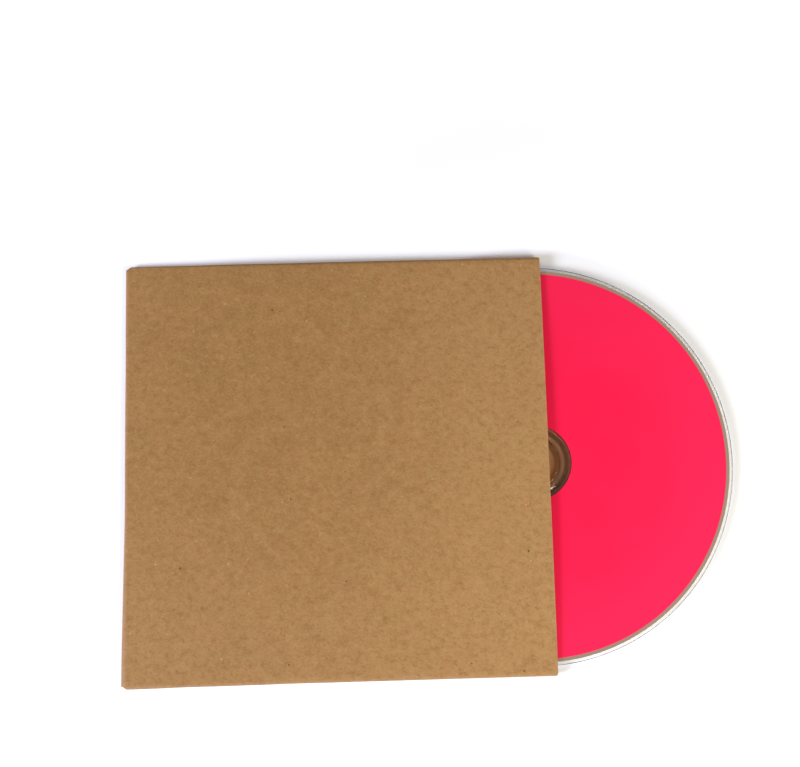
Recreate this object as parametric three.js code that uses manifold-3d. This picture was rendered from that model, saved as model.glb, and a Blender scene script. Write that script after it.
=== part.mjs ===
// Two-panel disc sleeve: a folded card pocket with a 120 mm disc drawn half out of it.
// Millimetres. The sleeve lies on its back panel with the opening towards +X, the spine fold
// towards -X and the two flap folds towards +Y and -Y. The origin is under the middle of the sleeve.

import * as THREE from 'three';
import { mergeVertices } from 'three/addons/utils/BufferGeometryUtils.js';
import Module from 'manifold-3d';

const wasm = await Module();
wasm.setup();

// Card sleeve
const sleeveWidth = 127;            // spine fold to opening edge
const sleeveHeight = 126;           // flap fold to flap fold
const cardThickness = 0.5;
const flapDepth = 15;               // glue flap, from its fold to its free edge
const flapStart = 1.7;              // spine fold to the start of the flap folds
const flapSpineTaper = 7;           // slant of the flap's end next to the spine
const flapMouthTaper = 4;           // slant of the flap's end next to the opening
const backInset = 0.45;             // cut edge of the back panel, in from the flap folds
const spineCutLength = 1.7;         // die-cut corners at the spine, along the flap fold
const spineCutDepth = 0.85;         // and along the spine
const mouthCutLength = 0.3;         // clipped corners at the opening, along the flap fold
const mouthCutDepth = 0.6;          // and along the opening edge

// Disc
const discDiameter = 120;
const discThickness = 1.2;          // with its layers
const holeDiameter = 15;
const rimChamfer = 0.15;
const holeChamfer = 0.2;
const grooveInner = 9.0;            // radius of the moulded groove round the hub
const grooveOuter = 10.4;
const grooveDepth = 0.18;
const stackingRingRadius = 17;      // ridge under the disc, middle radius
const stackingRingWidth = 1.2;
const stackingRingHeight = 0.2;
const draft = 0.15;                 // slope of the groove's and the ridge's flanks

// Layers on the upper face of the disc
const mirrorInner = 23;             // diameters
const mirrorOuter = 117.8;
const mirrorThickness = 0.03;
const printInner = 22.5;
const printOuter = 115.8;
const printThickness = 0.03;

// Fits and the place of the disc
const spineClearance = 0.2;         // front panel over the flaps at the spine
const panelClearance = 0.4;         // front panel over the disc, next to the flap folds
const mouthBow = 1.0;               // how much higher the front panel stands mid-opening
const discInset = 4.2;              // disc centre inside the opening edge
const discShift = -0.2;             // disc centre off the middle line, along Y

// Fineness of the curves
const panelSteps = 20;
const bowSegments = 12;
const foldSegments = 5;
const spineSegments = 8;
const discSegments = 128;

// Levels and edges that follow from the sizes
const spineX = -sleeveWidth / 2;
const mouthX = sleeveWidth / 2;
const foldY = sleeveHeight / 2;
const flapTop = 2 * cardThickness;
const spineUnderside = flapTop + spineClearance;
const mouthUnderside = flapTop + discThickness + panelClearance;
const spineRadius = (spineUnderside + cardThickness) / 2;
const spineCentreX = spineX + spineRadius;
const riseX = spineCentreX + cardThickness;   // where the front panel starts to rise
const discRadius = discDiameter / 2;
const discX = mouthX - discInset;
const discEdgeX = discX - discRadius;
const highest = mouthUnderside + mouthBow + cardThickness;
const spineFlank = THREE.MathUtils.degToRad(20);
const margin = 2;                   // how far cutting bodies run past the card

// Turns a closed geometry into a solid that can be joined and cut
function toSolid(geometry) {
  geometry.deleteAttribute('normal');
  geometry.deleteAttribute('uv');
  const merged = mergeVertices(geometry);
  return new wasm.Manifold(new wasm.Mesh({
    numProp: 3,
    vertProperties: new Float32Array(merged.attributes.position.array),
    triVerts: new Uint32Array(merged.index.array),
  }));
}

// Turns a solid back into a geometry with flat-shaded faces
function toGeometry(solid) {
  const mesh = solid.getMesh();
  const geometry = new THREE.BufferGeometry();
  geometry.setAttribute('position', new THREE.BufferAttribute(mesh.vertProperties, 3));
  geometry.setIndex(new THREE.BufferAttribute(mesh.triVerts, 1));
  geometry.computeVertexNormals();
  return geometry;
}

// A prism on an outline in the XY plane, between two levels
function plate(shape, bottom, top) {
  const geometry = new THREE.ExtrudeGeometry(shape, {
    depth: top - bottom,
    bevelEnabled: false,
    curveSegments: spineSegments,
  });
  geometry.translate(0, 0, bottom);
  return toSolid(geometry);
}

// Height of the front panel's underside: low at the spine, level where it lies over the disc
function undersideAt(x) {
  const along = THREE.MathUtils.clamp((x - riseX) / (discEdgeX - riseX), 0, 1);
  const rise = 1 - (1 - along) ** 2;
  return THREE.MathUtils.lerp(spineUnderside, mouthUnderside, rise);
}

// Extra height of the front panel where it bows up, most in the middle of the opening
function bowAt(x, y) {
  const along = Math.max((x - riseX) / (mouthX - riseX), 0);
  const across = Math.max(1 - (y / foldY) ** 2, 0);
  return mouthBow * along ** 2 * across;
}

// A flat tube round the pocket: its section has full-round ends, runs from the spine to endX,
// and its top follows the front panel down towards the spine and up to the bow at the opening
function panelTube(halfWidth, bottom, offset, endX) {
  const height = mouthUnderside + offset - bottom;
  const radius = height / 2;
  const section = new THREE.Shape();
  section.moveTo(radius - halfWidth, 0);
  section.lineTo(halfWidth - radius, 0);
  section.absarc(halfWidth - radius, radius, radius, -Math.PI / 2, Math.PI / 2, false);
  for (let i = 1; i <= bowSegments; i += 1) {
    section.lineTo((halfWidth - radius) * (1 - 2 * i / bowSegments), height);
  }
  section.absarc(radius - halfWidth, radius, radius, Math.PI / 2, 3 * Math.PI / 2, false);
  const geometry = new THREE.ExtrudeGeometry(section, {
    depth: panelSteps + 1,
    steps: panelSteps + 1,
    bevelEnabled: false,
    curveSegments: foldSegments * 2,
  });
  // section's X to Y, its Y to Z and the extrusion to X
  geometry.applyMatrix4(new THREE.Matrix4().makeBasis(
    new THREE.Vector3(0, 1, 0),
    new THREE.Vector3(0, 0, 1),
    new THREE.Vector3(1, 0, 0),
  ));
  const position = geometry.attributes.position;
  for (let i = 0; i < position.count; i += 1) {
    // the first step is the level strip at the spine, the others are even
    const step = Math.round(position.getX(i));
    const x = step === 0 ? spineX : THREE.MathUtils.lerp(riseX, endX, (step - 1) / panelSteps);
    const here = undersideAt(x) + bowAt(x, position.getY(i)) + offset - bottom;
    position.setX(i, x);
    position.setZ(i, bottom + position.getZ(i) * here / height);
  }
  return toSolid(geometry);
}

// Everything beyond a round of the given radius at the spine, as a prism along Y. The round
// runs out into two straight flanks, which meet the panels at the angle spineFlank
function spineTrim(radius) {
  const far = mouthX + 2 * margin;
  const flankX = spineCentreX - radius * Math.sin(spineFlank);
  const flankZ = radius * Math.cos(spineFlank);
  const reach = (far - flankX) * Math.tan(spineFlank);
  const profile = new THREE.Shape();
  profile.moveTo(far, spineRadius - flankZ - reach);
  profile.lineTo(flankX, spineRadius - flankZ);
  profile.absarc(spineCentreX, spineRadius, radius,
    3 * Math.PI / 2 - spineFlank, Math.PI / 2 + spineFlank, true);
  profile.lineTo(far, spineRadius + flankZ + reach);
  const geometry = new THREE.ExtrudeGeometry(profile, {
    depth: sleeveHeight + 2 * margin,
    bevelEnabled: false,
    curveSegments: spineSegments,
  });
  geometry.rotateX(Math.PI / 2);
  geometry.translate(0, foldY + margin, 0);
  return toSolid(geometry);
}

// The part of the pocket between the glue flaps, down to the back panel
function betweenFlaps() {
  const freeEdge = foldY - flapDepth;
  const foot = foldY - backInset - cardThickness;
  const side = [
    [spineX, foot],
    [spineX + flapStart, foot],
    [spineX + flapStart + flapSpineTaper, freeEdge],
    [mouthX - flapMouthTaper, freeEdge],
    [mouthX, foot],
    [mouthX + margin, foot],
  ];
  const upper = side.map(([x, y]) => new THREE.Vector2(x, y));
  const lower = side.map(([x, y]) => new THREE.Vector2(x, -y)).reverse();
  return plate(new THREE.Shape([...upper, ...lower]), cardThickness, flapTop + spineClearance / 2);
}

// A three-sided cutter for one corner of the sleeve
function cornerCut(signX, signY, length, depth) {
  const x = signX * sleeveWidth / 2;
  const y = signY * foldY;
  const reach = 1 + margin;
  const shape = new THREE.Shape([
    new THREE.Vector2(x - signX * length * reach, y + signY * depth * margin),
    new THREE.Vector2(x + signX * length * margin, y + signY * depth * margin),
    new THREE.Vector2(x + signX * length * margin, y - signY * depth * reach),
  ]);
  return plate(shape, -margin, highest + margin);
}

function buildSleeve() {
  const backHalf = foldY - backInset;
  const backOutline = new THREE.Shape([
    new THREE.Vector2(spineX, -backHalf),
    new THREE.Vector2(mouthX, -backHalf),
    new THREE.Vector2(mouthX, backHalf),
    new THREE.Vector2(spineX, backHalf),
  ]);
  const backPanel = plate(backOutline, 0, cardThickness);
  const wrap = panelTube(foldY, cardThickness, cardThickness, mouthX);
  const envelope = wrap.add(backPanel).intersect(spineTrim(spineRadius));
  const overFlaps = panelTube(foldY - cardThickness, flapTop, 0, mouthX + margin);
  const pocket = overFlaps.add(betweenFlaps()).intersect(spineTrim(spineRadius - cardThickness));
  let card = envelope.subtract(pocket);
  for (const signY of [-1, 1]) {
    card = card.subtract(cornerCut(-1, signY, spineCutLength, spineCutDepth));
    card = card.subtract(cornerCut(1, signY, mouthCutLength, mouthCutDepth));
  }
  return toGeometry(card);
}

// A closed profile of [radius, height] points, turned about Z
function revolve(profile) {
  const points = profile.map(([radius, height]) => new THREE.Vector2(radius, height));
  points.push(points[0].clone());
  const geometry = new THREE.LatheGeometry(points, discSegments);
  geometry.rotateX(Math.PI / 2);
  return toGeometry(toSolid(geometry));
}

function buildDiscBody() {
  const hole = holeDiameter / 2;
  const top = discThickness - mirrorThickness - printThickness;
  const ringInner = stackingRingRadius - stackingRingWidth / 2;
  const ringOuter = stackingRingRadius + stackingRingWidth / 2;
  return revolve([
    [hole, holeChamfer],
    [hole + holeChamfer, 0],
    [ringInner, 0],
    [ringInner + draft, -stackingRingHeight],
    [ringOuter - draft, -stackingRingHeight],
    [ringOuter, 0],
    [discRadius - rimChamfer, 0],
    [discRadius, rimChamfer],
    [discRadius, top - rimChamfer],
    [discRadius - rimChamfer, top],
    [grooveOuter, top],
    [grooveOuter - draft, top - grooveDepth],
    [grooveInner + draft, top - grooveDepth],
    [grooveInner, top],
    [hole + holeChamfer, top],
    [hole, top - holeChamfer],
  ]);
}

function buildLayer(innerDiameter, outerDiameter, bottom, thickness) {
  return revolve([
    [innerDiameter / 2, bottom],
    [outerDiameter / 2, bottom],
    [outerDiameter / 2, bottom + thickness],
    [innerDiameter / 2, bottom + thickness],
  ]);
}

function addPiece(parent, name, geometry, look) {
  const mesh = new THREE.Mesh(geometry, new THREE.MeshStandardMaterial(look));
  mesh.name = name;
  parent.add(mesh);
}

const object = new THREE.Group();
addPiece(object, 'sleeve', buildSleeve(), { color: '#b08558', roughness: 0.9, metalness: 0 });

const disc = new THREE.Group();
disc.position.set(discX, discShift, flapTop);
object.add(disc);
const mirrorBottom = discThickness - mirrorThickness - printThickness;
const printBottom = discThickness - printThickness;
addPiece(disc, 'disc_body', buildDiscBody(), { color: '#e4e2db', roughness: 0.08, metalness: 0 });
addPiece(disc, 'mirror_layer', buildLayer(mirrorInner, mirrorOuter, mirrorBottom, mirrorThickness),
  { color: '#a59684', roughness: 0.25, metalness: 1 });
addPiece(disc, 'print_layer', buildLayer(printInner, printOuter, printBottom, printThickness),
  { color: '#ff264e', roughness: 0.5, metalness: 0 });

export default object;
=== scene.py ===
"""Two-panel disc sleeve with its disc drawn half out: fine meshes, materials, light and view.

Metres. +X runs from the spine fold to the opening, +Y along the opening, +Z up. Shapes are worked
out in millimetres from the frame's boxes and scaled by MM as the meshes are made.
"""

import math

import bmesh
import bpy
from mathutils import Matrix, Vector, noise


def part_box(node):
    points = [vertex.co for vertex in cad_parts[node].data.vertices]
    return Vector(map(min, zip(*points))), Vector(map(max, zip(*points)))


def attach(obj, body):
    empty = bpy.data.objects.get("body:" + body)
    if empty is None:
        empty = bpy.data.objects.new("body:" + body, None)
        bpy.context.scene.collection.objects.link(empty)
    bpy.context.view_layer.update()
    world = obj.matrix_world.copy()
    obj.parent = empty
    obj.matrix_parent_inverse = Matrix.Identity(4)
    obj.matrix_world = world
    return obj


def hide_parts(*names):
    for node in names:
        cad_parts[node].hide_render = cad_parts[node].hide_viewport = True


MM = 0.001

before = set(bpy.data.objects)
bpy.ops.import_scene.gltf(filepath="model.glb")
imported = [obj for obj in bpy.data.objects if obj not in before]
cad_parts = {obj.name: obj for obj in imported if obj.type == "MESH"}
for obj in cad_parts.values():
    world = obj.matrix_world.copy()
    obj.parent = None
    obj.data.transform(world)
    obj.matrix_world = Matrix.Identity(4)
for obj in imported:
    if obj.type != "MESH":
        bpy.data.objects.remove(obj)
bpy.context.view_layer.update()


def box_mm(node):
    """The lowest and highest corners of a CAD node, in millimetres."""
    low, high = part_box(node)
    return low / MM, high / MM


SLEEVE_LOW, SLEEVE_HIGH = box_mm("sleeve")
DISC_LOW, DISC_HIGH = box_mm("disc_body")
MIRROR_LOW, MIRROR_HIGH = box_mm("mirror_layer")
PRINT_LOW, PRINT_HIGH = box_mm("print_layer")

# Sleeve, in millimetres
SPINE_X = SLEEVE_LOW.x
MOUTH_X = SLEEVE_HIGH.x
FOLD_Y = SLEEVE_HIGH.y
CARD = 0.5                    # card thickness
GLUE_GAP = 0.02               # between a flap and the back panel
CUT_ROUNDING = 0.07           # of the card's cut edges
FLAP_DEPTH = 15.0
FLAP_START = 1.7              # spine fold to the start of the flap folds
FLAP_SPINE_TAPER = 7.0
FLAP_MOUTH_TAPER = 4.0
BACK_INSET = 0.45             # back panel's cut edge, in from the flap folds
SPINE_HEIGHT = 1.7            # of the folded sleeve at the spine
SPINE_CUT = 0.85              # die-cut corner, along the spine
SPINE_CUT_RETURN = 0.7        # how much of that cut the front panel's first row makes good
MOUTH_BOW = 1.0               # how much higher the front panel stands mid-opening
MOUTH_CLIP_X = 0.3            # clipped corners at the opening
MOUTH_CLIP_Y = 0.6
SPINE_RADIUS = SPINE_HEIGHT / 2
SPINE_CENTRE_X = SPINE_X + SPINE_RADIUS
SPINE_HALF = FOLD_Y - SPINE_CUT
BACK_HALF = FOLD_Y - BACK_INSET
RISE_X = SPINE_CENTRE_X + CARD
PANEL_TOP = SLEEVE_HIGH.z - MOUTH_BOW

# Lower spine corner, folded a little wide, in millimetres
FLARE_X = 0.72                # how far it stands out past the spine
FLARE_Y = 0.40                # how far it stands out past the lower fold
FLARE_LENGTH = 70             # from the spine to where the card lies true
FLARE_FROM_Y = 8              # below the middle, where it starts along the spine
CORNER_FROM_Y = 32            # below the middle, where it starts to stand out downwards

# Waviness of the card: height, length and seed of each wave, in millimetres
PANEL_WAVES = ((0.05, 31, 4.1), (0.02, 11, 9.7))
PANEL_SINK = 0.03             # keeps the waves under the panel's own height
PANEL_MARGIN = 12             # over which they fade out towards the folds
SPINE_WAVE = (0.10, 23, 2.2)
FOLD_WAVE = (0.14, 17, 5.5)
FOLD_MARGIN = 8               # over which it fades out towards the spine

# Disc, in millimetres
DISC_X = (DISC_LOW.x + DISC_HIGH.x) / 2
DISC_Y = (DISC_LOW.y + DISC_HIGH.y) / 2
DISC_RADIUS = (DISC_HIGH.x - DISC_LOW.x) / 2
DISC_EDGE_X = DISC_LOW.x
STACKING_RIDGE = 0.2
DISC_BOTTOM = DISC_LOW.z + STACKING_RIDGE
DISC_TOP = DISC_HIGH.z
DISC_CHAMFER = 0.15
DISC_RIM = 0.28
DISC_ROUNDING = 0.14
HOLE_RADIUS = 7.5
GROOVE_RADII = (9.0, 10.4)
GROOVE_DEPTH = 0.18
GROOVE_DRAFT = 0.5
RIDGE_RADII = (16.4, 17.6)
MIRROR_RADII = (11.5, (MIRROR_HIGH.x - MIRROR_LOW.x) / 2)
PRINT_RADII = (11.25, (PRINT_HIGH.x - PRINT_LOW.x) / 2)
LAYER_SINK = 0.01             # of the reflective layer into the plastic
LAYER_ROUNDING = 0.02

# Fineness
PANEL_STEP = 1.5
BEND_STEPS = 12
FLAP_STEPS = 8
TURN_STEPS = 256
SHARP_ANGLE = math.radians(38)
ARC_SHARE = 0.4               # the most of a side that a rounded corner takes
HOLD_SHARE = 0.45             # and the most at which the flat beyond it starts


def lerp(a, b, t):
    return a + (b - a) * t


def clamp01(t):
    return min(max(t, 0.0), 1.0)


def srgb(red, green, blue):
    """Linear colour of a shade written in 8-bit display values."""
    def channel(value):
        value /= 255
        return value / 12.92 if value <= 0.04045 else ((value + 0.055) / 1.055) ** 2.4
    return (channel(red), channel(green), channel(blue), 1.0)


# Meshes

def add_piece(name, bm, materials, replaced):
    """Makes an object of a bmesh in millimetres, on the part's one body."""
    bmesh.ops.recalc_face_normals(bm, faces=bm.faces)
    bmesh.ops.scale(bm, vec=(MM, MM, MM), verts=bm.verts)
    mesh = bpy.data.meshes.new(name)
    bm.to_mesh(mesh)
    bm.free()
    for polygon in mesh.polygons:
        polygon.use_smooth = True
    mesh.set_sharp_from_angle(angle=SHARP_ANGLE)
    obj = bpy.data.objects.new(name, mesh)
    bpy.context.scene.collection.objects.link(obj)
    for material in materials:
        mesh.materials.append(material)
    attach(obj, "root")
    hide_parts(*replaced)


def wave(x, y, height, length, seed):
    """Smooth variation within about the given height of zero, in bumps of the given length."""
    return height * noise.noise(Vector((x / length, y / length, seed)))


def panel_top(x, y):
    """Height of the front panel's upper side."""
    along = clamp01((x - RISE_X) / (DISC_EDGE_X - RISE_X))
    rise = 1 - (1 - along) ** 2
    reach = max((x - RISE_X) / (MOUTH_X - RISE_X), 0)
    bow = MOUTH_BOW * reach ** 2 * max(1 - (y / FOLD_Y) ** 2, 0)
    inland = clamp01((FOLD_Y - abs(y)) / PANEL_MARGIN) * clamp01((x - RISE_X) / PANEL_MARGIN)
    waves = sum(wave(x, y, *values) for values in PANEL_WAVES)
    return lerp(SPINE_HEIGHT, PANEL_TOP, rise) + bow + inland * (waves - PANEL_SINK)


def flare(x, y):
    """How far the lower spine corner stands out at a point, along X and along Y."""
    near = clamp01((SPINE_X + FLARE_LENGTH - x) / FLARE_LENGTH)
    low = clamp01((-y - FLARE_FROM_Y) / (FOLD_Y - FLARE_FROM_Y))
    corner = clamp01((-y - CORNER_FROM_Y) / (FOLD_Y - CORNER_FROM_Y))
    return -FLARE_X * near ** 2 * low ** 2 * (3 - 2 * low), -FLARE_Y * near ** 2 * corner


def fold_radius(x):
    """Outer radius of the flap folds, which flatten towards the spine."""
    return (panel_top(x, FOLD_Y) - CARD) / 2


def way_out(x):
    """Share of the way from the spine to the opening."""
    return (x - SPINE_CENTRE_X) / (MOUTH_X - SPINE_CENTRE_X)


def mouth_end(y):
    """The card's end at the opening, clipped at its corners."""
    clip = clamp01((abs(y) - (FOLD_Y - MOUTH_CLIP_Y)) / MOUTH_CLIP_Y)
    return MOUTH_X - MOUTH_CLIP_X * clip


class Sheet:
    """A sheet of card as pairs of points, one on its outer and one on its inner side."""

    def __init__(self):
        self.bm = bmesh.new()
        self.pairs = []
        self.quads = []

    def point(self, outer, inner):
        aside, down = flare(outer[0], outer[1])
        shift = Vector((aside, down, 0))
        self.pairs.append(tuple(self.bm.verts.new(Vector(p) + shift) for p in (outer, inner)))
        return len(self.pairs) - 1

    def grid(self, rows):
        """Faces between rows of point numbers."""
        for first, second in zip(rows, rows[1:]):
            for i in range(len(first) - 1):
                self.quads.append((first[i], first[i + 1], second[i + 1], second[i]))

    def close(self):
        """Makes both sides and the cut edges between them, and returns the cut edges' faces."""
        edge_count = {}
        for quad in self.quads:
            for a, b in zip(quad, quad[1:] + quad[:1]):
                key = (min(a, b), max(a, b))
                edge_count[key] = edge_count.get(key, 0) + 1
        for quad in self.quads:
            self.bm.faces.new([self.pairs[k][0] for k in quad])
            self.bm.faces.new([self.pairs[k][1] for k in reversed(quad)])
        rims = []
        for (a, b), count in edge_count.items():
            if count == 1:
                corners = [self.pairs[a][0], self.pairs[a][1], self.pairs[b][1], self.pairs[b][0]]
                rims.append(self.bm.faces.new(corners))
        return rims


def back_panel(sheet, stations, shares):
    """Rows of points from the opening to the spine."""
    rows = []
    for x in reversed(stations):
        half = lerp(SPINE_HALF, BACK_HALF, clamp01((x - SPINE_CENTRE_X) / FLAP_START))
        row = []
        for share in shares:
            y = half * share
            end = min(x, mouth_end(y))
            row.append(sheet.point((end, y, 0), (end, y, CARD - GLUE_GAP)))
        rows.append(row)
    return rows


def spine_fold(sheet, shares):
    """Rows of points round the spine, from the back panel to the front panel."""
    inner = SPINE_RADIUS - CARD
    rows = []
    for k in range(1, BEND_STEPS):
        turn = math.pi * (1 - k / BEND_STEPS)
        row = []
        for share in shares:
            y = SPINE_HALF * share
            nose = math.sin(turn) * (SPINE_RADIUS - max(wave(0, y, *SPINE_WAVE), 0))
            row.append(sheet.point(
                (SPINE_CENTRE_X - nose, y, SPINE_RADIUS * (1 + math.cos(turn))),
                (SPINE_CENTRE_X - inner * math.sin(turn), y, SPINE_RADIUS + inner * math.cos(turn)),
            ))
        rows.append(row)
    return rows


def front_panel(sheet, stations, shares):
    """Rows of points from the spine to the opening."""
    rows = []
    for x in stations:
        half = FOLD_Y - fold_radius(x)
        if x <= stations[0]:
            half = lerp(SPINE_HALF, half, SPINE_CUT_RETURN)
        row = []
        for share in shares:
            y = half * share
            top = panel_top(x, y)
            row.append(sheet.point((x, y, top), (x, y, top - CARD)))
        rows.append(row)
    return rows


def flap_fold(sheet, stations, sign):
    """Rows of points round one flap fold, from the front panel to the glue flap."""
    rows = []
    for k in range(1, BEND_STEPS + 1):
        turn = math.pi * k / BEND_STEPS
        start = lerp(SPINE_CENTRE_X, SPINE_X + FLAP_START, math.sin(min(turn, math.pi / 2)))
        row = []
        for x in stations:
            radius = fold_radius(x)
            inner = radius - CARD
            centre_y = FOLD_Y - radius
            fade = clamp01((x - SPINE_X) / FOLD_MARGIN)
            y = centre_y + (radius - fade * max(wave(x, sign, *FOLD_WAVE), 0)) * math.sin(turn)
            z = CARD + radius * (1 + math.cos(turn))
            inner_y = centre_y + inner * math.sin(turn)
            inner_z = CARD + radius + inner * math.cos(turn)
            end = lerp(start, mouth_end(y), way_out(x))
            row.append(sheet.point((end, sign * y, z), (end, sign * inner_y, inner_z)))
        rows.append(row)
    return rows


def glue_flap(sheet, stations, sign):
    """Rows of points over one glue flap, from its fold to its cut edge."""
    rows = []
    for k in range(1, FLAP_STEPS + 1):
        depth = k / FLAP_STEPS
        start = SPINE_X + FLAP_START + FLAP_SPINE_TAPER * depth
        stop = mouth_end(FOLD_Y) - FLAP_MOUTH_TAPER * depth
        row = []
        for x in stations:
            y = lerp(FOLD_Y - fold_radius(x), FOLD_Y - FLAP_DEPTH, depth)
            end = lerp(start, stop, way_out(x))
            row.append(sheet.point((end, sign * y, CARD), (end, sign * y, 2 * CARD - GLUE_GAP)))
        rows.append(row)
    return rows


def soften_cuts(bm, rims):
    """Gives the cut edges the second material and rounds their corners."""
    for face in rims:
        face.material_index = 1
    corners = {}
    for face in rims:
        for edge in face.edges:
            if any(beside.material_index == 0 for beside in edge.link_faces):
                corners[edge] = True
    bmesh.ops.bevel(bm, geom=list(corners), offset=CUT_ROUNDING, segments=2, profile=0.5,
                    affect="EDGES", clamp_overlap=True, material=1)


def build_sleeve(card, card_edge):
    """The folded sheet: back panel, spine fold and front panel as one strip, then the flaps."""
    sheet = Sheet()
    steps = round((MOUTH_X - SPINE_CENTRE_X) / PANEL_STEP)
    across = round(2 * FOLD_Y / PANEL_STEP)
    stations = [lerp(SPINE_CENTRE_X, MOUTH_X, i / steps) for i in range(steps + 1)]
    shares = [lerp(-1, 1, i / across) for i in range(across + 1)]
    back = back_panel(sheet, stations, shares)
    spine = spine_fold(sheet, shares)
    front = front_panel(sheet, stations, shares)
    sheet.grid(back + spine + front)
    for sign, column in ((-1, 0), (1, across)):
        front_edge = [row[column] for row in front]
        fold = flap_fold(sheet, stations, sign)
        flap = glue_flap(sheet, stations, sign)
        sheet.grid([front_edge] + fold + flap)
    soften_cuts(sheet.bm, sheet.close())
    add_piece("kraft_sleeve", sheet.bm, [card, card_edge], ["sleeve"])


def rounded(profile, radius, steps=3):
    """A closed profile with each corner turned into a small arc of about the given radius.

    A further point on either side of the arc keeps the flat faces evenly shaded.
    """
    points = []
    for i, place in enumerate(profile):
        corner = Vector(place)
        to_before = Vector(profile[i - 1]) - corner
        to_after = Vector(profile[(i + 1) % len(profile)]) - corner
        reach = min(radius, to_before.length * ARC_SHARE, to_after.length * ARC_SHARE)
        hold_before = min(reach * 2, to_before.length * HOLD_SHARE)
        hold_after = min(reach * 2, to_after.length * HOLD_SHARE)
        start = corner + to_before.normalized() * reach
        stop = corner + to_after.normalized() * reach
        points.append(corner + to_before.normalized() * hold_before)
        for k in range(steps + 1):
            t = k / steps
            points.append(start * (1 - t) ** 2 + corner * 2 * t * (1 - t) + stop * t ** 2)
        points.append(corner + to_after.normalized() * hold_after)
    return points


def one_material(normal):
    return 0


def second_below(normal):
    """The second material on the faces that look down."""
    return 1 if normal.z < -0.5 else 0


def revolve(profile, index_of=one_material):
    """A solid ring from a closed profile of (radius, height) points, about the disc's middle."""
    bm = bmesh.new()
    rings = []
    for k in range(TURN_STEPS):
        angle = 2 * math.pi * k / TURN_STEPS
        rings.append([
            bm.verts.new((DISC_X + p[0] * math.cos(angle), DISC_Y + p[0] * math.sin(angle), p[1]))
            for p in profile
        ])
    count = len(profile)
    for ring, following in zip(rings, rings[1:] + rings[:1]):
        for i in range(count):
            j = (i + 1) % count
            bm.faces.new((ring[i], following[i], following[j], ring[j]))
    bmesh.ops.recalc_face_normals(bm, faces=bm.faces)
    bm.normal_update()
    for face in bm.faces:
        face.material_index = index_of(face.normal)
    return bm


def build_disc_body(clear):
    """The clear disc, with its hub groove above and its stacking ridge below."""
    bottom, top = DISC_BOTTOM, DISC_TOP
    ridge = bottom - STACKING_RIDGE
    ridge_inner, ridge_outer = RIDGE_RADII
    groove_inner, groove_outer = GROOVE_RADII
    groove = top - GROOVE_DEPTH
    profile = [
        (HOLE_RADIUS, bottom + DISC_CHAMFER),
        (HOLE_RADIUS + DISC_CHAMFER, bottom),
        (ridge_inner, bottom),
        (ridge_inner + DISC_CHAMFER, ridge),
        (ridge_outer - DISC_CHAMFER, ridge),
        (ridge_outer, bottom),
        (DISC_RADIUS - DISC_RIM, bottom),
        (DISC_RADIUS, bottom + DISC_RIM),
        (DISC_RADIUS, top - DISC_RIM),
        (DISC_RADIUS - DISC_RIM, top),
        (groove_outer, top),
        (groove_outer - GROOVE_DRAFT, groove),
        (groove_inner + GROOVE_DRAFT, groove),
        (groove_inner, top),
        (HOLE_RADIUS + DISC_CHAMFER, top),
        (HOLE_RADIUS, top - DISC_CHAMFER),
    ]
    bm = revolve(rounded(profile, DISC_ROUNDING))
    add_piece("clear_disc", bm, [clear], ["disc_body"])


def build_layer(name, radii, low, high, materials, replaced, index_of=one_material):
    """A thin ring on the disc, between two radii and two heights."""
    profile = [(radii[0], low), (radii[1], low), (radii[1], high), (radii[0], high)]
    bm = revolve(rounded(profile, LAYER_ROUNDING, 2), index_of)
    add_piece(name, bm, materials, [replaced])


# Materials

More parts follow.
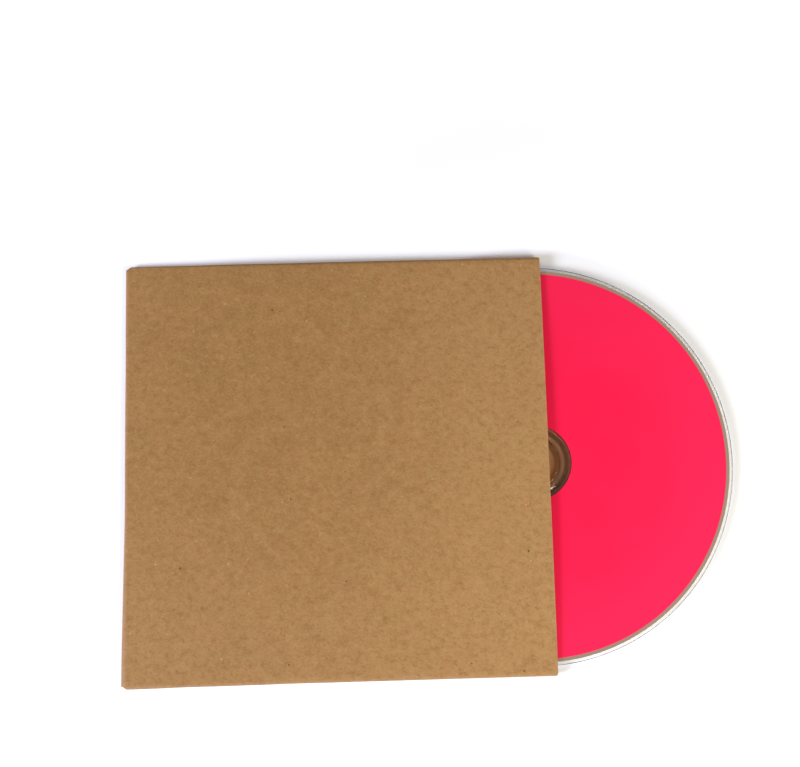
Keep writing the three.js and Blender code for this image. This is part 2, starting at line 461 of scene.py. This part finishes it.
class Graph:
    """Short calls for the nodes of one material."""

    def __init__(self, name):
        self.material = bpy.data.materials.new(name)
        self.material.use_nodes = True
        self.tree = self.material.node_tree
        self.tree.nodes.clear()
        self.output = self.tree.nodes.new("ShaderNodeOutputMaterial")

    def feed(self, socket, value):
        """Links an output to a socket, or writes a value into it."""
        if isinstance(value, bpy.types.NodeSocket):
            self.tree.links.new(value, socket)
        else:
            socket.default_value = value

    def node(self, kind, settings=None, **inputs):
        """A node with its settings and its inputs, where an underscore stands for a space."""
        made = self.tree.nodes.new(kind)
        for key, value in (settings or {}).items():
            setattr(made, key, value)
        for key, value in inputs.items():
            self.feed(made.inputs[key.replace("_", " ")], value)
        return made

    def math(self, operation, *values):
        made = self.node("ShaderNodeMath", {"operation": operation})
        for socket, value in zip(made.inputs, values):
            self.feed(socket, value)
        return made.outputs[0]

    def largest(self, first, *others):
        for other in others:
            first = self.math("MAXIMUM", first, other)
        return first

    def step(self, value, low, high, to_low=0.0, to_high=1.0):
        """Value mapped smoothly from low..high to to_low..to_high."""
        made = self.node("ShaderNodeMapRange", {"interpolation_type": "SMOOTHSTEP"},
                         Value=value, From_Min=low, From_Max=high, To_Min=to_low, To_Max=to_high)
        return made.outputs["Result"]

    def band(self, value, start, full, fade, end, share):
        """Rises from start to full and falls from fade to end, up to the given share."""
        rise = self.step(value, start, full)
        return self.math("MULTIPLY", rise, self.step(value, end, fade, 0.0, share))

    def blend(self, share, first, second):
        made = self.node("ShaderNodeMix", {"data_type": "RGBA"}, Factor=share, A=first, B=second)
        return next(o for o in made.outputs if o.type == "RGBA")

    def tint(self, colour, field, start, full, share, shade):
        """Blends a shade in, up to the given share, as the field goes from start to full."""
        return self.blend(self.step(field, start, full, 0.0, share), colour, shade)

    def place(self, scale=(1, 1, 1), turn=0.0, shift=(0, 0, 0)):
        """The object's own coordinates in millimetres, scaled, turned about Z and shifted."""
        source = self.node("ShaderNodeTexCoord").outputs["Object"]
        turned = self.node("ShaderNodeMapping", Vector=source, Rotation=(0, 0, turn),
                           Scale=(1 / MM, 1 / MM, 1 / MM))
        return self.node("ShaderNodeMapping", Vector=turned.outputs["Vector"],
                         Location=shift, Scale=scale).outputs["Vector"]

    def axes(self, vector):
        return self.node("ShaderNodeSeparateXYZ", Vector=vector).outputs

    def distance(self, x, y, unit_x=1.0, unit_y=1.0):
        """Distance across the table from a place given in millimetres, in the given units."""
        axes = self.axes(self.place())
        aside = self.math("DIVIDE", self.math("SUBTRACT", axes["X"], x), unit_x)
        ahead = self.math("DIVIDE", self.math("SUBTRACT", axes["Y"], y), unit_y)
        squares = [self.math("MULTIPLY", value, value) for value in (aside, ahead)]
        return self.math("SQRT", self.math("ADD", *squares))

    def grain(self, where, scale, detail=2.0, roughness=0.5, distortion=0.0):
        made = self.node("ShaderNodeTexNoise", Vector=where, Scale=scale, Detail=detail,
                         Roughness=roughness, Distortion=distortion)
        return made.outputs["Fac"]

    def specks(self, where, cell, radius, share):
        """Sparse round specks: one in each cell of a random share of the cells."""
        made = self.node("ShaderNodeTexVoronoi", {"voronoi_dimensions": "2D"}, Vector=where,
                         Scale=1 / cell, Randomness=1.0)
        split = self.node("ShaderNodeSeparateColor", Color=made.outputs["Color"])
        near = self.step(made.outputs["Distance"], radius / cell * 0.55, radius / cell, 1.0, 0.0)
        size = self.step(split.outputs["Green"], 0, 1, 0.35, 1.0)
        chosen = self.math("LESS_THAN", split.outputs["Red"], share)
        return self.math("MULTIPLY", self.math("MULTIPLY", near, chosen), size)

    def relief(self, height, strength, depth):
        """The normal of a surface with the given height in it, its depth in millimetres."""
        made = self.node("ShaderNodeBump", Strength=strength, Distance=depth * MM, Height=height)
        return made.outputs["Normal"]

    def mixed(self, share, first, second):
        """One shader, and the second in its place by the given share."""
        made = self.node("ShaderNodeMixShader", Fac=share)
        self.feed(made.inputs[1], first.outputs[0])
        self.feed(made.inputs[2], second.outputs[0])
        return made

    def surface(self, shader):
        """Puts the shader on the material's surface and returns the material."""
        self.feed(self.output.inputs["Surface"], shader.outputs[0])
        return self.material


# Kraft card
KRAFT = srgb(168, 126, 77)
KRAFT_DARK = srgb(147, 105, 60)
KRAFT_PALE = srgb(191, 151, 102)
KRAFT_CLOUD = srgb(153, 113, 68)
# painted light: the lighter shade the card takes away from its darker middle
KRAFT_PAINTED_LIGHTER = srgb(190, 148, 102)
KRAFT_REDDER = srgb(177, 128, 86)
KRAFT_GREENER = srgb(164, 130, 80)
# paler card of the folds and edges: partly wear, partly painted highlight
KRAFT_WEAR_AND_HIGHLIGHT = srgb(204, 166, 142)
FLECK_BROWN = srgb(116, 78, 44)
FLECK_PALE = srgb(212, 178, 132)
SPECK_BROWN = srgb(66, 42, 26)
SPECK_CREAM = srgb(214, 184, 140)
# painted light: the card is painted lighter away from this darker middle, towards the panel's edges
PAINTED_DRIFT_CENTRE = (-25.0, 22.0)          # the darkest part of the panel, in millimetres
PAINTED_DRIFT_REACH = (85.0, 105.0)
FIBRES = (                            # turn, shift, share and shade of each run of fibres
    (0.12, 0.0, 0.40, KRAFT_DARK),
    (1.15, 37.0, 0.34, KRAFT_DARK),
    (-0.85, 71.0, 0.30, KRAFT_PALE),
)
FIBRE_WIDTH = 0.022
SPECK_PULL = 0.7
# where the folds and the opening are painted paler: partly wear, partly painted highlight
LONG_FOLD_WEAR_AND_HIGHLIGHT = (FOLD_Y - 0.9, FOLD_Y - 0.1, 0.0, 0.30)
SPINE_WEAR_AND_HIGHLIGHT = (SPINE_X + 1.3, SPINE_X + 0.1, 0.0, 0.34)
OPENING_WEAR_AND_HIGHLIGHT = (MOUTH_X - 0.5, MOUTH_X - 0.1, 0.0, 0.14)


def kraft_tone(g, base, fine, fibre):
    """Mottled tone, from clouds down to the finest marks, and a broad painted light that makes the
    card lighter away from a darker middle.
    """
    cloud = g.grain(g.place(), 0.11, 3, 0.55)
    painted_light_drift = g.distance(*PAINTED_DRIFT_CENTRE, *PAINTED_DRIFT_REACH)
    hue = g.grain(g.place((1, 1, 1), 0.0, (53.0, 17.0, 0)), 0.19, 3, 0.65)
    patch = g.grain(g.place((0.85, 1.0, 1.0)), 0.50, 3, 0.65)
    marks = g.grain(g.place((0.55, 1.0, 1.0), 0.5, (5.0, 9.0, 0)), 1.05, 3, 0.6, 1.4)
    tints = (
        (cloud, 0.35, 0.68, 0.42, KRAFT_CLOUD),
        # painted light: lighter away from the panel's darker middle
        (painted_light_drift, 0.15, 1.05, 0.45, KRAFT_PAINTED_LIGHTER),
        (hue, 0.50, 0.66, 0.30, KRAFT_REDDER),
        (hue, 0.50, 0.34, 0.30, KRAFT_GREENER),
        (patch, 0.47, 0.70, 0.46 * fibre, KRAFT_DARK),
        (patch, 0.47, 0.28, 0.32 * fibre, KRAFT_PALE),
        (marks, 0.55, 0.68, 0.50 * fibre, KRAFT_DARK),
        (marks, 0.45, 0.32, 0.28 * fibre, KRAFT_PALE),
        (fine, 0.50, 0.68, 0.38 * fibre, KRAFT_DARK),
        (fine, 0.50, 0.34, 0.30 * fibre, KRAFT_PALE),
    )
    colour = base
    for values in tints:
        colour = g.tint(colour, *values)
    return colour


def fibre_run(g, turn, shift):
    """Curly fibres in one direction: thin ridges of stretched noise, broken up."""
    run = g.grain(g.place((0.33, 1.0, 1.0), turn, (shift, shift, 0)), 1.15, 1, 0.5, 0.9)
    middle = g.math("ABSOLUTE", g.math("SUBTRACT", run, 0.5))
    ridge = g.step(middle, 0.0, FIBRE_WIDTH, 1.0, 0.0)
    gaps = g.grain(g.place((1, 1, 1), 0.0, (shift, 0, 0)), 0.7, 2)
    return g.math("MULTIPLY", ridge, g.step(gaps, 0.52, 0.62))


def kraft_specks(g, colour):
    """Brown and pale flecks, and specks pulled out of round by a little noise."""
    flat = g.place()
    ragged = g.node("ShaderNodeTexNoise", Vector=flat, Scale=2.4, Detail=2.0)
    pull = g.node("ShaderNodeVectorMath", {"operation": "SCALE"}, Scale=SPECK_PULL)
    g.feed(pull.inputs[0], ragged.outputs["Color"])
    bent = g.node("ShaderNodeVectorMath", {"operation": "ADD"})
    g.feed(bent.inputs[0], flat)
    g.feed(bent.inputs[1], pull.outputs[0])
    brown = g.grain(g.place((0.8, 1.0, 1.0), 0.2, (31.0, 3.0, 0)), 1.25, 3, 0.75, 1.6)
    pale = g.grain(g.place((0.7, 1.0, 1.0), -0.3, (11.0, 43.0, 0)), 1.1, 3, 0.75, 1.6)
    large = g.specks(bent.outputs[0], 26.0, 0.38, 0.50)
    cream = g.specks(bent.outputs[0], 9.0, 0.30, 0.45)
    colour = g.tint(colour, brown, 0.61, 0.70, 0.62, FLECK_BROWN)
    colour = g.tint(colour, pale, 0.64, 0.74, 0.45, FLECK_PALE)
    colour = g.blend(g.math("MULTIPLY", large, 0.72), colour, SPECK_BROWN)
    return g.blend(g.math("MULTIPLY", cream, 0.48), colour, SPECK_CREAM)


def kraft_wear_and_highlight(g, colour):
    """Paler along the folds and the opening edge: partly wear, partly a painted highlight where
    they catch the light.
    """
    axes = g.axes(g.place())
    long_folds = g.step(g.math("ABSOLUTE", axes["Y"]), *LONG_FOLD_WEAR_AND_HIGHLIGHT)
    spine = g.step(axes["X"], *SPINE_WEAR_AND_HIGHLIGHT)
    opening = g.step(axes["X"], *OPENING_WEAR_AND_HIGHLIGHT)
    uneven = g.step(g.grain(g.place(), 0.8, 3, 0.6), 0.3, 0.6, 0.45, 1.0)
    wear_and_highlight = g.math("MULTIPLY", g.largest(long_folds, spine, opening), uneven)
    return g.blend(wear_and_highlight, colour, KRAFT_WEAR_AND_HIGHLIGHT)


def kraft(name, lightness=1.0, fibre=1.0):
    """Recycled kraft card: mottled tone, short fibres, brown and pale specks, fine tooth; painted
    light makes it lighter away from its middle, and paler along folds and edges together with real
    wear.
    """
    g = Graph(name)
    base = tuple(channel * lightness for channel in KRAFT[:3]) + (1.0,)
    fine = g.grain(g.place((0.75, 1.0, 1.0), 0.04), 1.7, 5, 0.72, 0.3)
    tooth = g.grain(g.place((0.8, 1.0, 1.0)), 6.0, 3, 0.7)
    colour = kraft_tone(g, base, fine, fibre)
    for turn, shift, share, shade in FIBRES:
        line = fibre_run(g, turn, shift)
        colour = g.blend(g.math("MULTIPLY", line, share * fibre), colour, shade)
    colour = kraft_wear_and_highlight(g, kraft_specks(g, colour))
    # the last run of fibres also stands up a little
    height = g.math("ADD", g.math("MULTIPLY", fine, 0.6), g.math("MULTIPLY", tooth, 0.4))
    height = g.math("ADD", height, g.math("MULTIPLY", line, 0.15))
    shader = g.node("ShaderNodeBsdfPrincipled", Base_Color=colour, Roughness=0.88,
                    Specular_IOR_Level=0.18, Normal=g.relief(height, 0.35, 0.03))
    return g.surface(shader)


# Pink ink
INK = srgb(253, 30, 76)
INK_CLOUD = srgb(252, 33, 82)
# painted sheen: the ink lighter towards the disc's rim
INK_PAINTED_SHEEN = srgb(253, 40, 88)


def pink_ink():
    """Satin hot pink print: almost even, with the faint tooth of a screened ink, and a painted
    sheen that lightens it towards the rim.
    """
    g = Graph("pink_ink")
    tooth = g.grain(g.place(), 5.0, 3, 0.6)
    cloud = g.grain(g.place(), 0.08, 2, 0.5)
    colour = g.tint(INK, cloud, 0.3, 0.7, 0.6, INK_CLOUD)
    # painted sheen: lighter towards the disc's rim
    colour = g.tint(colour, g.distance(DISC_X, DISC_Y), 25.0, 58.0, 0.75, INK_PAINTED_SHEEN)
    shader = g.node("ShaderNodeBsdfPrincipled", Base_Color=colour,
                    Roughness=g.step(tooth, 0.3, 0.7, 0.42, 0.52),
                    Specular_IOR_Level=0.12, Normal=g.relief(tooth, 0.12, 0.01))
    return g.surface(shader)


# Clear plastic, where the steps go by distance from the disc's middle in millimetres
PLASTIC = srgb(255, 254, 250)
# painted shade: steep faces and rings round the hub are darkened in colour, standing in for the
# dark of refraction and shadow
PLASTIC_STEEP_PAINTED_SHADE = (0.10, 0.075, 0.05, 1.0)
PLASTIC_HUB_PAINTED_SHADE = (0.24, 0.11, 0.065, 1.0)
STEEP_FACES = (0.78, 0.985, 1.0, 0.0)     # by how much of the face's normal points up
GROOVE_SHADE = (8.8, 9.4, 10.2, 10.7, 0.68)
HOLE_SHADE = (8.7, 7.6, 0.0, 0.72)
PRINT_EDGE_SHADE = (11.02, 11.2, 0.0, 0.9)
HUB_END = (12.0, 11.4)
THROUGH_HUB = (0.62, 0.53, 0.47, 1.0)     # light that the shadow keeps
THROUGH_DISC = (0.97, 0.96, 0.94, 1.0)
THROUGH_RIM = (0.6, 0.6, 0.6, 1.0)


def clear_plastic():
    """Polycarbonate: clear to sight, and clear to the light that casts shadows, with painted shade
    on its steep faces and in rings round the hub.
    """
    g = Graph("clear_plastic")
    haze = g.grain(g.place(), 1.2, 3, 0.6)
    radius = g.distance(DISC_X, DISC_Y)
    normal = g.node("ShaderNodeNewGeometry").outputs["Normal"]
    upright = g.math("ABSOLUTE", g.axes(normal)["Z"])
    # painted shade: dark rings at the groove, the hole's edge and the print's inner edge
    hub = g.largest(g.band(radius, *GROOVE_SHADE), g.step(radius, *HOLE_SHADE),
                    g.step(radius, *PRINT_EDGE_SHADE))
    hub = g.math("MULTIPLY", hub, g.step(radius, *HUB_END))
    # painted shade on steep faces such as the rim, the groove walls and the hole wall
    shade = g.blend(g.step(upright, *STEEP_FACES), PLASTIC, PLASTIC_STEEP_PAINTED_SHADE)
    shade = g.blend(hub, shade, PLASTIC_HUB_PAINTED_SHADE)
    solid = g.node("ShaderNodeBsdfPrincipled", Base_Color=shade,
                   Roughness=g.step(haze, 0.3, 0.8, 0.015, 0.05),
                   IOR=1.58, Transmission_Weight=1.0)
    passed = g.blend(g.step(radius, 12.0, 50.0), THROUGH_HUB, THROUGH_DISC)
    passed = g.blend(g.step(radius, 58.0, 59.5), passed, THROUGH_RIM)
    through = g.node("ShaderNodeBsdfTransparent", Color=passed)
    shadow_ray = g.node("ShaderNodeLightPath").outputs["Is Shadow Ray"]
    return g.surface(g.mixed(shadow_ray, solid, through))


# Reflective layer
# partly a painted reflection: the layer's warm beige stands in for the brown card it reflects
MIRROR_TOP_WITH_PAINTED_REFLECTION = srgb(205, 176, 160)
DATA_SIDE = srgb(205, 205, 210)
DATA_FILM = 420                           # nanometres, for its rainbow sheen
FILM_IOR = 1.5


def metal_layer(name, shade, metallic, rough_low, rough_high, anisotropic=0.0, film=0):
    """A reflective face with a faint unevenness and, where film isn't 0, a thin film."""
    g = Graph(name)
    cloud = g.grain(g.place(), 0.6, 3, 0.6)
    rough = g.step(cloud, 0.3, 0.7, rough_low, rough_high)
    shader = g.node("ShaderNodeBsdfPrincipled", Base_Color=shade, Metallic=metallic,
                    Roughness=rough, Anisotropic=anisotropic)
    if film:
        g.feed(shader.inputs["Thin Film Thickness"], film)
        g.feed(shader.inputs["Thin Film IOR"], FILM_IOR)
    return g.surface(shader)


# Table, where the steps go by distance from the disc's middle in millimetres
# brown under the hub: partly a stand-in for card below the disc, partly painted shade; with a
# painted shadow round the hole
TABLE_BROWN_AND_SHADE = srgb(180, 131, 93)
TABLE_REDDER = srgb(206, 126, 94)
TABLE_SHADED = srgb(110, 72, 36)
TABLE_REDDER_FROM = (9.5, 10.8)
TABLE_WHITE_FROM = (13.0, 19.0)
TABLE_LIT = (0.8, 0.8, 0.8, 1.0)          # to the light that goes on from it
TABLE_SEEN = (1.0, 1.0, 1.0, 1.0)
HOLE_SHADOW = (5.9, 6.7, 7.5, 7.9, 0.55)
# painted shadow: a ring round the disc where the table's glow is held back and turned bluish,
# widening the disc's shadow
DISC_SHADOW = (60.2, 61.8, 65.0, 67.5, 0.8)
LIFT_NEAR = (15.0, 50.0, 0.0, 0.14)
LIFT_FROM_SPINE = (SPINE_X, SPINE_X + 30, 0.3, 1.0)
LIFT_FAR = ((95.0, 190.0, 0.0, 0.42), (190.0, 450.0, 0.0, 0.50))
LIFT_COLOUR = (0.90, 0.96, 1.32, 1.0)
LIFT_IN_SHADOW = (0.40, 0.40, 2.20, 1.0)


def white_floor():
    """A white table with the part's soft shadow on it and a painted wider shadow round the disc;
    brown where it shows through the hub, partly a stand-in for card below and partly painted shade,
    with a painted shadow round the hole.
    """
    g = Graph("white_floor")
    path = g.node("ShaderNodeLightPath").outputs
    seen = g.largest(path["Is Camera Ray"], path["Is Glossy Ray"], path["Is Transmission Ray"])
    radius = g.distance(DISC_X, DISC_Y)
    across = g.axes(g.place())["X"]
    # painted shade: the table under the hub darker and brown, with a painted shadow round the hole
    brown = g.blend(g.step(radius, *TABLE_REDDER_FROM), TABLE_BROWN_AND_SHADE, TABLE_REDDER)
    brown = g.blend(g.band(radius, *HOLE_SHADOW), brown, TABLE_SHADED)
    open_table = g.step(radius, *TABLE_WHITE_FROM)
    plain = g.node("ShaderNodeBsdfDiffuse", Color=g.blend(open_table, brown, TABLE_LIT))
    white = g.node("ShaderNodeBsdfDiffuse", Color=g.blend(open_table, brown, TABLE_SEEN))

    # a white glow on the seen table, held back in a ring round the disc, where it paints a wider,
    # bluish disc shadow
    shadow = g.band(radius, *DISC_SHADOW)
    near = g.math("MULTIPLY", g.step(radius, *LIFT_NEAR), g.step(across, *LIFT_FROM_SPINE))
    near = g.math("MULTIPLY", near, g.math("SUBTRACT", 1.0, shadow))
    far = g.math("ADD", *(g.step(radius, *values) for values in LIFT_FAR))
    glow = g.node("ShaderNodeEmission", Color=g.blend(shadow, LIFT_COLOUR, LIFT_IN_SHADOW),
                  Strength=g.math("ADD", near, far))
    lifted = g.node("ShaderNodeAddShader")
    g.feed(lifted.inputs[0], white.outputs[0])
    g.feed(lifted.inputs[1], glow.outputs[0])
    return g.surface(g.mixed(seen, plain, lifted))


# The object

build_sleeve(kraft("kraft_card"), kraft("card_edge", lightness=1.02, fibre=1.5))
build_disc_body(clear_plastic())
build_layer("mirror_band", MIRROR_RADII, MIRROR_LOW.z - LAYER_SINK, MIRROR_HIGH.z,
            [metal_layer("mirror_top", MIRROR_TOP_WITH_PAINTED_REFLECTION, 0.6, 0.10, 0.14),
             metal_layer("data_side", DATA_SIDE, 1.0, 0.10, 0.16, 0.6, DATA_FILM)],
            "mirror_layer", second_below)
build_layer("pink_print", PRINT_RADII, PRINT_LOW.z, PRINT_HIGH.z, [pink_ink()],
            "print_layer")


# Floor, light and view

FLOOR_SIZE = 4.0
LAMPS = (
    # low and cool, from the left
    dict(name="key", place=(-0.68, -0.28, 0.42), aim=(0.02, 0.0, 0.0), size=0.34, power=6.1,
         colour=(0.93, 1.0, 1.24)),
    # near and warm, from the lower right
    dict(name="fill", place=(0.25, -0.13, 0.21), aim=(0.06, 0.0, 0.0), size=0.20, power=0.66,
         colour=(1.0, 1.0, 0.93), hidden_from="glossy"),
    # shines only in the hub's groove
    dict(name="glint", place=(0.214, -0.155, 0.272), aim=(0.048, -0.008, 0.002), size=0.06,
         power=0.11, colour=(1.0, 0.86, 0.74), hidden_from="diffuse"),
)
WORLD_LEVEL = 0.28
WORLD_COLOUR = (1.12, 1.0, 0.74, 1.0)
BACKDROP = (1.0, 1.0, 1.0, 1.0)
CAMERA_PLACE = (0.01237, -0.02802, 0.36164)
CAMERA_AIM = (0.01965, 0.02506, 0.0)
CAMERA_ROLL = math.radians(1.59)
CAMERA_LENS = 54.0
CAMERA_SENSOR = 36.0
CAMERA_NEAREST = 0.01


def add_floor():
    mesh = bpy.data.meshes.new("floor")
    half = FLOOR_SIZE / 2
    mesh.from_pydata([(-half, -half, 0), (half, -half, 0), (half, half, 0), (-half, half, 0)], [],
                     [(0, 1, 2, 3)])
    mesh.materials.append(white_floor())
    floor = bpy.data.objects.new("floor", mesh)
    bpy.context.scene.collection.objects.link(floor)


def add_lamp(name, place, aim, size, power, colour, hidden_from=None):
    data = bpy.data.lights.new(name, "AREA")
    data.color = colour
    data.shape = "DISK"
    data.size = size
    data.energy = power
    lamp = bpy.data.objects.new(name, data)
    lamp.location = place
    lamp.rotation_euler = (Vector(aim) - Vector(place)).to_track_quat("-Z", "Y").to_euler()
    if hidden_from:
        setattr(lamp, "visible_" + hidden_from, False)
    bpy.context.scene.collection.objects.link(lamp)


def add_world():
    """Even warm light from all round, white where the camera sees past the table."""
    world = bpy.data.worlds.new("studio")
    world.use_nodes = True
    tree = world.node_tree
    light = tree.nodes["Background"]
    light.inputs["Color"].default_value = WORLD_COLOUR
    light.inputs["Strength"].default_value = WORLD_LEVEL
    backdrop = tree.nodes.new("ShaderNodeBackground")
    backdrop.inputs["Color"].default_value = BACKDROP
    path = tree.nodes.new("ShaderNodeLightPath")
    mixed = tree.nodes.new("ShaderNodeMixShader")
    tree.links.new(path.outputs["Is Camera Ray"], mixed.inputs["Fac"])
    tree.links.new(light.outputs[0], mixed.inputs[1])
    tree.links.new(backdrop.outputs[0], mixed.inputs[2])
    tree.links.new(mixed.outputs[0], tree.nodes["World Output"].inputs["Surface"])
    bpy.context.scene.world = world


def add_camera():
    data = bpy.data.cameras.new("camera")
    data.sensor_width = CAMERA_SENSOR
    data.lens = CAMERA_LENS
    data.clip_start = CAMERA_NEAREST
    camera = bpy.data.objects.new("camera", data)
    ahead = (Vector(CAMERA_AIM) - Vector(CAMERA_PLACE)).normalized()
    level = Vector((0, 1, 0))
    level = (level - ahead * level.dot(ahead)).normalized()
    side = ahead.cross(level)
    up = level * math.cos(CAMERA_ROLL) + side * math.sin(CAMERA_ROLL)
    right = ahead.cross(up)
    turn = Matrix((right, up, -ahead)).transposed()
    camera.matrix_world = Matrix.Translation(CAMERA_PLACE) @ turn.to_4x4()
    bpy.context.scene.collection.objects.link(camera)
    bpy.context.scene.camera = camera


add_floor()
add_world()
for lamp in LAMPS:
    add_lamp(**lamp)
add_camera()
bpy.context.scene.view_settings.view_transform = "Standard"
